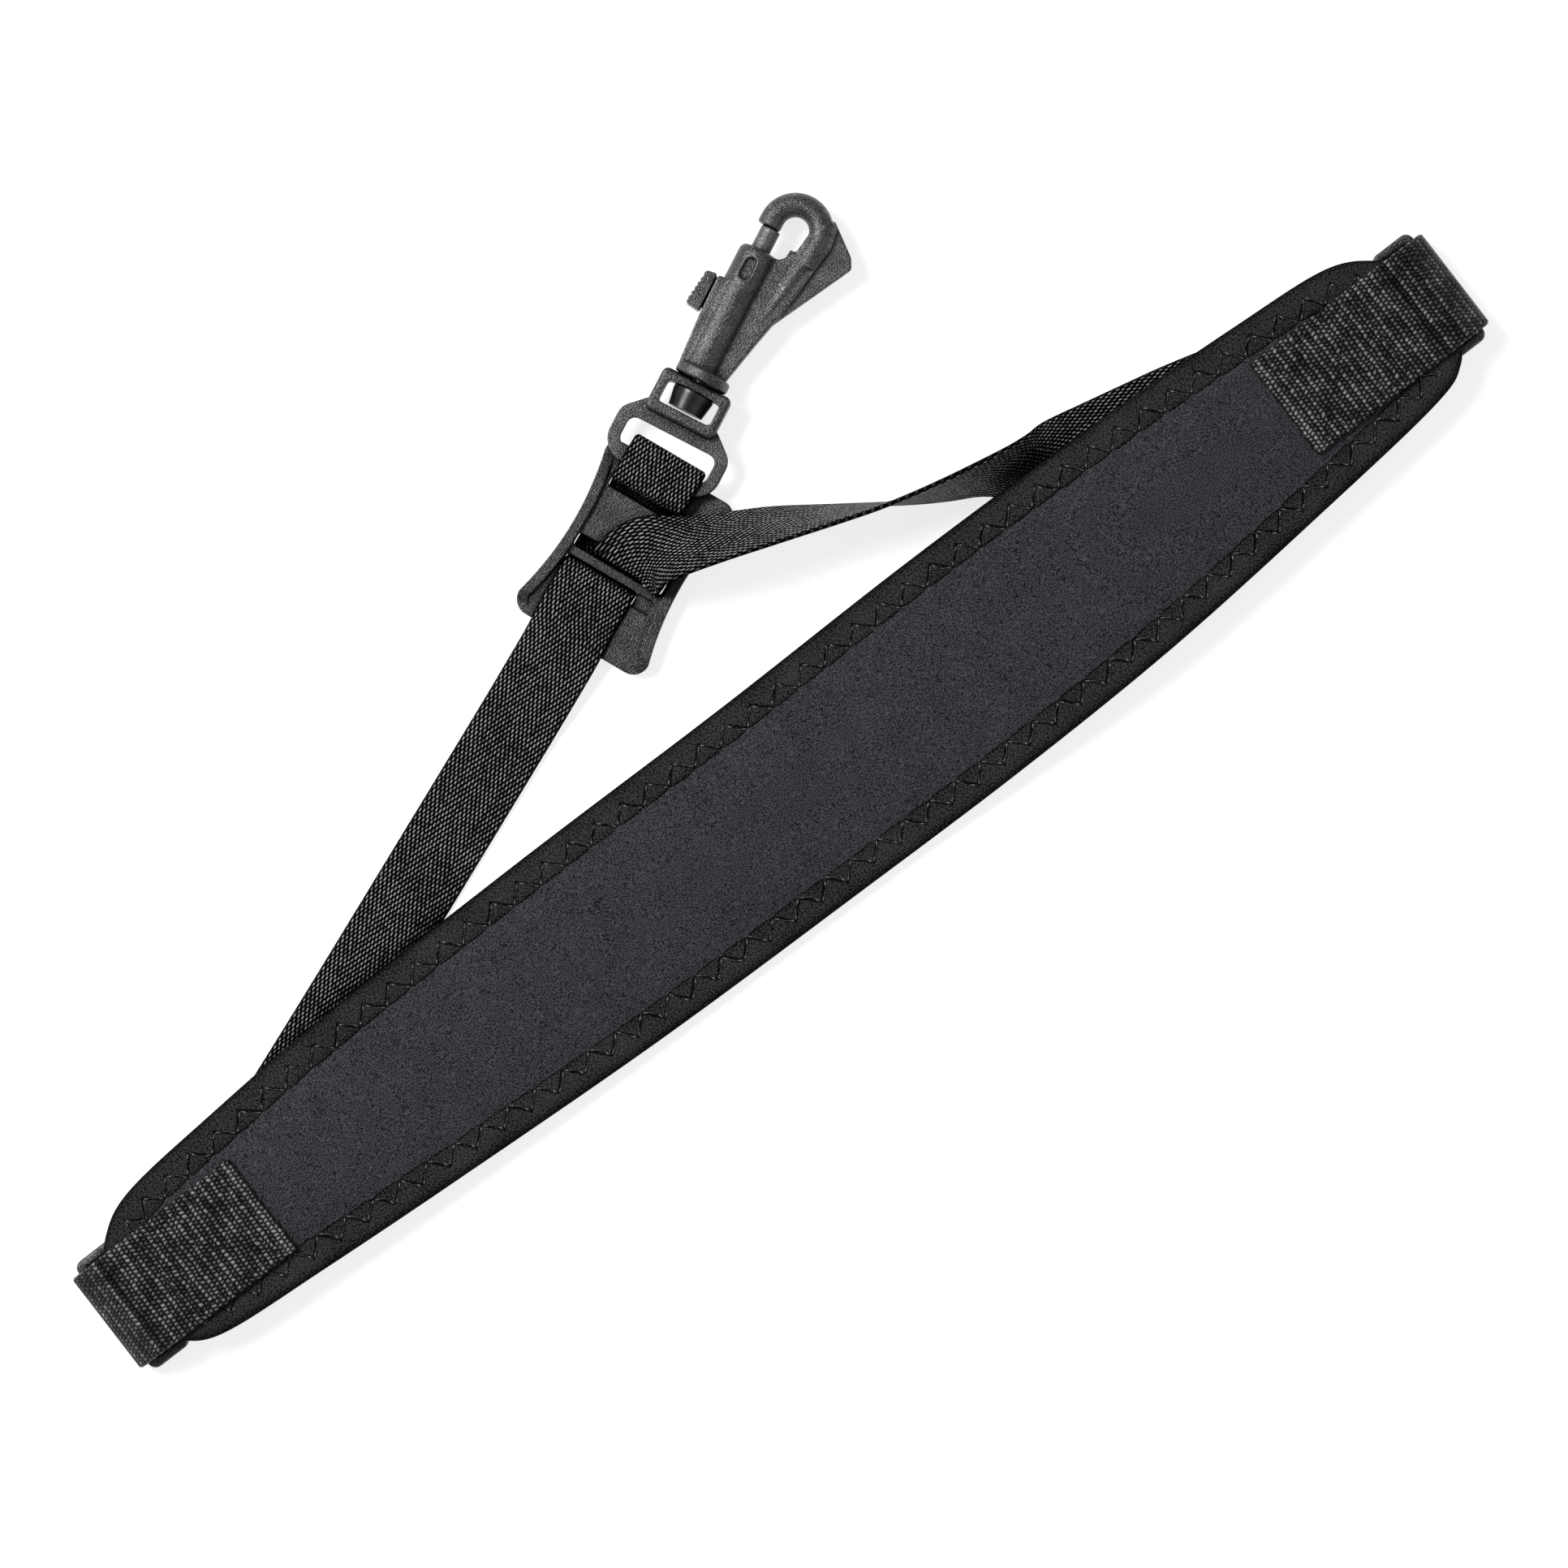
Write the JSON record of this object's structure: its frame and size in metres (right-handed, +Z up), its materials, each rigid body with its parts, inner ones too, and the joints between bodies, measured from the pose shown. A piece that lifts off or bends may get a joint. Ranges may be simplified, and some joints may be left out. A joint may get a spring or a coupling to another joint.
{
  "type": "saxophone neck strap",
  "caption": "Padded neck strap for a saxophone: cloth-covered pad, folded webbing with a slider, and a swivel snap hook.",
  "frame": {"origin": "middle of the neck pad's underside, which lies on the table", "axes": "+X along the pad, +Y from the pad towards the hook, +Z up from the table"},
  "size_m": [0.4206, 0.1487, 0.0228],
  "materials": {
    "pad_cover": "fine napped knit cloth, bluish black",
    "foam": "soft closed-cell foam",
    "tape": "knitted stretch edge tape, black",
    "thread": "black sewing thread",
    "webbing": "herringbone nylon webbing, black",
    "elastic": "ribbed elastic webbing, black",
    "plastic": "moulded acetal with a fine grain, black",
    "stud_plastic": "polished black plastic",
    "spring_steel": "bright drawn wire"
  },
  "bodies": {
    "neck_pad": {"pad_foam_core": "foam", "pad_front_cover": "pad_cover", "pad_back_cover": "pad_cover", "edge_binding": "tape", "binding_stitch_front": "thread", "binding_stitch_back": "thread", "tab_left": "elastic", "tab_right": "elastic", "tab_stitch_left": "thread", "tab_stitch_right": "thread", "strap_left": "webbing", "strap_hook_loop": "webbing", "strap_right": "webbing", "strap_stitch_left": "thread", "strap_stitch_right": "thread"},
    "left_ring": {"end_ring_left": "plastic"},
    "right_ring": {"end_ring_right": "plastic"},
    "slider": {"slider_plate": "plastic"},
    "swivel": {"swivel_ring": "plastic"},
    "hook": {"swivel_stud": "stud_plastic", "hook_body": "plastic", "gate_spring": "spring_steel"},
    "gate": {"gate_bolt": "plastic", "thumb_slide": "plastic"}
  },
  "joints": [
    {"name": "slider_slide", "type": "slide", "parent": "neck_pad", "child": "slider", "axis": [0.9272, 0.3746, 0], "range_m": [-0.04, 0], "deforming": ["strap_left", "strap_hook_loop", "strap_right"]},
    {"name": "left_ring_fold", "type": "hinge", "parent": "neck_pad", "child": "left_ring", "pos_m": [-0.2084, -0.0007, 0.0027], "axis": [0, 1, 0], "range_deg": [0, 25], "deforming": ["strap_left"]},
    {"name": "right_ring_fold", "type": "hinge", "parent": "neck_pad", "child": "right_ring", "pos_m": [0.207, 0.0008, 0.0027], "axis": [0, -1, 0], "range_deg": [0, 25], "deforming": ["strap_right"]},
    {"name": "swivel_swing", "type": "hinge", "parent": "neck_pad", "child": "swivel", "pos_m": [0.02475, 0.08321, 0.0071], "axis": [0.4226, -0.9063, 0], "range_deg": [0, 120], "deforming": ["strap_hook_loop"]},
    {"name": "hook_swivel", "type": "hinge", "parent": "swivel", "child": "hook", "pos_m": [0.04149, 0.09157, 0.0071], "axis": [0.9063, 0.4226, 0], "continuous": true},
    {"name": "gate_slide", "type": "slide", "parent": "hook", "child": "gate", "axis": [-0.9063, -0.4226, 0], "range_m": [0, 0.006], "stiffness_N_per_m": 300, "springref_m": -0.003, "deforming": ["gate_spring"]}
  ]
}
